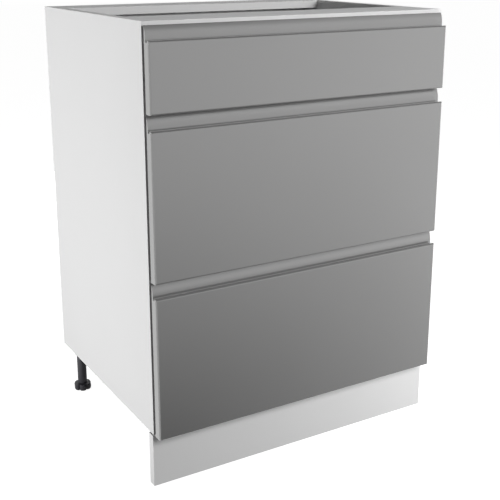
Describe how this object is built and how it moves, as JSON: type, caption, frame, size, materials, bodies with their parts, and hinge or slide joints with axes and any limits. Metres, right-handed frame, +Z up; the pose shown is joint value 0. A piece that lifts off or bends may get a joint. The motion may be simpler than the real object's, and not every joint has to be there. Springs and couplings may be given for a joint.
{
  "type": "base cabinet with drawers",
  "caption": "Floor-standing kitchen base cabinet with full-width gloss grip-lip drawers on telescopic runners, white carcass, plinth and adjustable feet.",
  "frame": {"origin": "on the floor under the centre of the cabinet's bounding box", "axes": "+Z up, -Y towards the drawer fronts, +X to the right seen from the front"},
  "size_m": [0.6, 0.471, 0.802],
  "materials": {
    "carcass_white": "white melamine-faced particle board, fine matt texture",
    "plinth_white": "white foil-faced board, satin",
    "front_gloss": "high-gloss mid-grey lacquer over fibreboard, edges rounded and lacquered",
    "drawer_board": "white melamine-faced board",
    "drawer_steel": "silver-grey powder-coated steel sheet",
    "runner_steel": "zinc-plated roll-formed steel",
    "cam_zinc": "die-cast zinc alloy, dull",
    "leg_plastic": "black moulded plastic",
    "glide_nylon": "natural nylon",
    "bumper_rubber": "soft translucent grey rubber"
  },
  "bodies": {
    "cabinet": {"back_panel": "carcass_white", "bottom_panel": "carcass_white", "cam_bolts": "runner_steel", "cam_locks": "cam_zinc", "front_top_rail": "carcass_white", "leg_sockets": "leg_plastic", "leg_stems": "leg_plastic", "plinth_clips": "leg_plastic", "plinth_panel": "plinth_white", "rear_top_rail": "carcass_white", "runner_1_cabinet_rails": "runner_steel", "runner_2_cabinet_rails": "runner_steel", "runner_3_cabinet_rails": "runner_steel", "runner_screws": "runner_steel", "side_panel_left": "carcass_white", "side_panel_right": "carcass_white"},
    "drawer_1": {"drawer_1_back": "drawer_board", "drawer_1_back_brackets": "drawer_steel", "drawer_1_base": "drawer_board", "drawer_1_bumpers": "bumper_rubber", "drawer_1_front": "front_gloss", "drawer_1_front_brackets": "drawer_steel", "drawer_1_front_screws": "runner_steel", "drawer_1_rails": "runner_steel", "drawer_1_side_left": "drawer_steel", "drawer_1_side_right": "drawer_steel"},
    "runner_1_middle": {"runner_1_glides": "glide_nylon", "runner_1_middle_rails": "runner_steel"},
    "drawer_2": {"drawer_2_back": "drawer_board", "drawer_2_back_brackets": "drawer_steel", "drawer_2_base": "drawer_board", "drawer_2_bumpers": "bumper_rubber", "drawer_2_front": "front_gloss", "drawer_2_front_brackets": "drawer_steel", "drawer_2_front_screws": "runner_steel", "drawer_2_gallery_rails": "drawer_steel", "drawer_2_rails": "runner_steel", "drawer_2_side_left": "drawer_steel", "drawer_2_side_right": "drawer_steel"},
    "runner_2_middle": {"runner_2_glides": "glide_nylon", "runner_2_middle_rails": "runner_steel"},
    "drawer_3": {"drawer_3_back": "drawer_board", "drawer_3_back_brackets": "drawer_steel", "drawer_3_base": "drawer_board", "drawer_3_bumpers": "bumper_rubber", "drawer_3_front": "front_gloss", "drawer_3_front_brackets": "drawer_steel", "drawer_3_front_screws": "runner_steel", "drawer_3_gallery_rails": "drawer_steel", "drawer_3_rails": "runner_steel", "drawer_3_side_left": "drawer_steel", "drawer_3_side_right": "drawer_steel"},
    "runner_3_middle": {"runner_3_glides": "glide_nylon", "runner_3_middle_rails": "runner_steel"},
    "adjuster_front_left": {"foot_front_left": "leg_plastic"},
    "adjuster_front_right": {"foot_front_right": "leg_plastic"},
    "adjuster_rear_left": {"foot_rear_left": "leg_plastic"},
    "adjuster_rear_right": {"foot_rear_right": "leg_plastic"}
  },
  "joints": [
    {"name": "drawer_1_slide", "type": "slide", "parent": "cabinet", "child": "drawer_1", "axis": [0, -1, 0], "range_m": [0, 0.385]},
    {"name": "runner_1_middle_slide", "type": "slide", "parent": "cabinet", "child": "runner_1_middle", "axis": [0, -1, 0], "range_m": [0, 0.1925]},
    {"name": "drawer_2_slide", "type": "slide", "parent": "cabinet", "child": "drawer_2", "axis": [0, -1, 0], "range_m": [0, 0.385]},
    {"name": "runner_2_middle_slide", "type": "slide", "parent": "cabinet", "child": "runner_2_middle", "axis": [0, -1, 0], "range_m": [0, 0.1925]},
    {"name": "drawer_3_slide", "type": "slide", "parent": "cabinet", "child": "drawer_3", "axis": [0, -1, 0], "range_m": [0, 0.385]},
    {"name": "runner_3_middle_slide", "type": "slide", "parent": "cabinet", "child": "runner_3_middle", "axis": [0, -1, 0], "range_m": [0, 0.1925]},
    {"name": "foot_front_left_height", "type": "slide", "parent": "cabinet", "child": "adjuster_front_left", "axis": [0, 0, -1], "range_m": [0, 0.02]},
    {"name": "foot_front_right_height", "type": "slide", "parent": "cabinet", "child": "adjuster_front_right", "axis": [0, 0, -1], "range_m": [0, 0.02]},
    {"name": "foot_rear_left_height", "type": "slide", "parent": "cabinet", "child": "adjuster_rear_left", "axis": [0, 0, -1], "range_m": [0, 0.02]},
    {"name": "foot_rear_right_height", "type": "slide", "parent": "cabinet", "child": "adjuster_rear_right", "axis": [0, 0, -1], "range_m": [0, 0.02]}
  ],
  "couplings": [
    {"joint": "runner_1_middle_slide", "follows": "drawer_1_slide", "ratio": 0.5},
    {"joint": "runner_2_middle_slide", "follows": "drawer_2_slide", "ratio": 0.5},
    {"joint": "runner_3_middle_slide", "follows": "drawer_3_slide", "ratio": 0.5}
  ]
}
